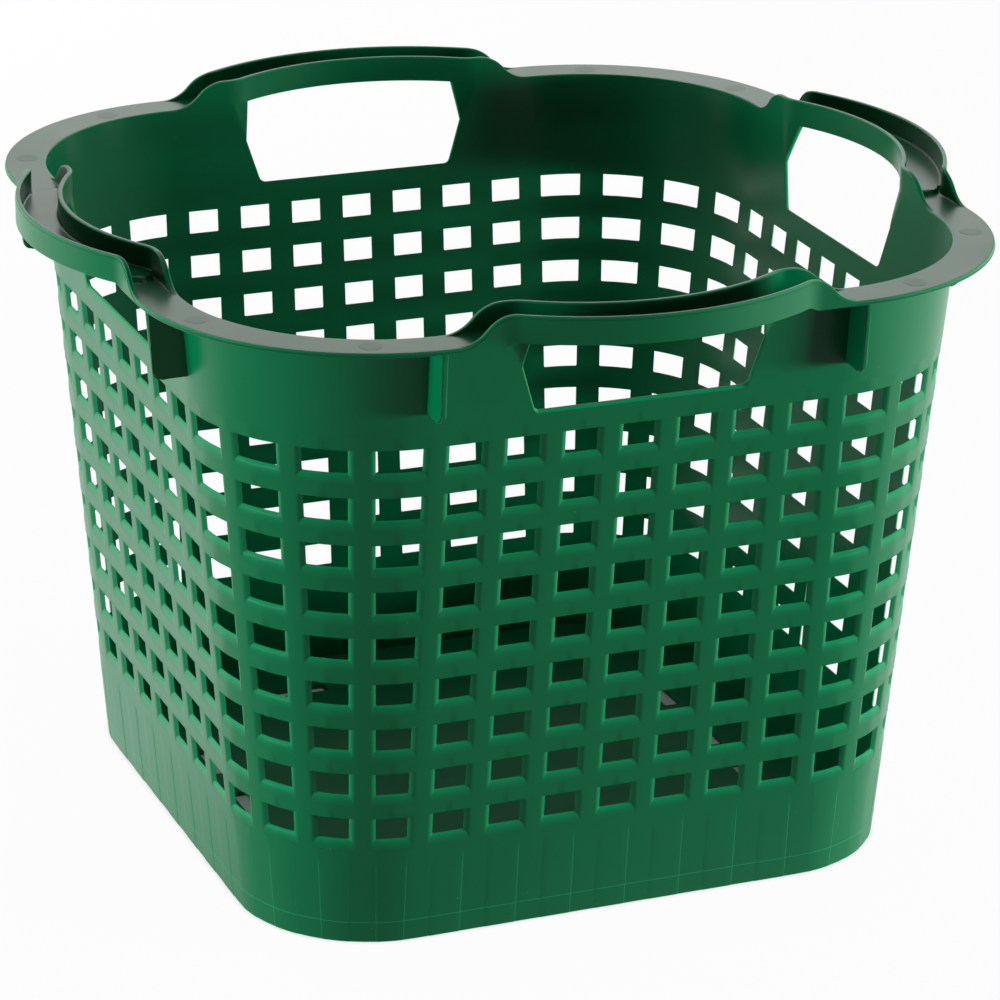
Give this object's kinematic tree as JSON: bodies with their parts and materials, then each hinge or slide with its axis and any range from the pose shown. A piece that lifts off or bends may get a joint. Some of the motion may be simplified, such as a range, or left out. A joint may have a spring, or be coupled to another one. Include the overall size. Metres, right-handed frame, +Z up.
{
  "type": "stacking basket",
  "caption": "Square tapering plastic harvest basket with an open lattice wall, a drained floor, a flanged rim and a bowed channel grip over a hand-hole in each side.",
  "frame": {"origin": "centre of the flat foot, on the floor", "axes": "+Z up through the mouth, -Y out of the front side, +X to the right of someone facing the front"},
  "size_m": [0.4614, 0.4614, 0.3187],
  "materials": {
    "moulding": "satin moulded polypropylene"
  },
  "bodies": {
    "root": {"collar": "moulding", "floor": "moulding", "lattice_column_1_back_left": "moulding", "lattice_column_1_back_right": "moulding", "lattice_column_1_front_left": "moulding", "lattice_column_1_front_right": "moulding", "lattice_column_2_back_left": "moulding", "lattice_column_2_back_right": "moulding", "lattice_column_2_front_left": "moulding", "lattice_column_2_front_right": "moulding", "lattice_column_3_back_left": "moulding", "lattice_column_3_back_right": "moulding", "lattice_column_3_front_left": "moulding", "lattice_column_3_front_right": "moulding", "lattice_column_4_back_left": "moulding", "lattice_column_4_back_right": "moulding", "lattice_column_4_front_left": "moulding", "lattice_column_4_front_right": "moulding", "lattice_side_back": "moulding", "lattice_side_front": "moulding", "lattice_side_left": "moulding", "lattice_side_right": "moulding", "ribs_back": "moulding", "ribs_front": "moulding", "ribs_left": "moulding", "ribs_right": "moulding", "rim": "moulding", "skirt_corner_back_left": "moulding", "skirt_corner_back_right": "moulding", "skirt_corner_front_left": "moulding", "skirt_corner_front_right": "moulding", "skirt_side_back": "moulding", "skirt_side_front": "moulding", "skirt_side_left": "moulding", "skirt_side_right": "moulding"}
  },
  "joints": []
}
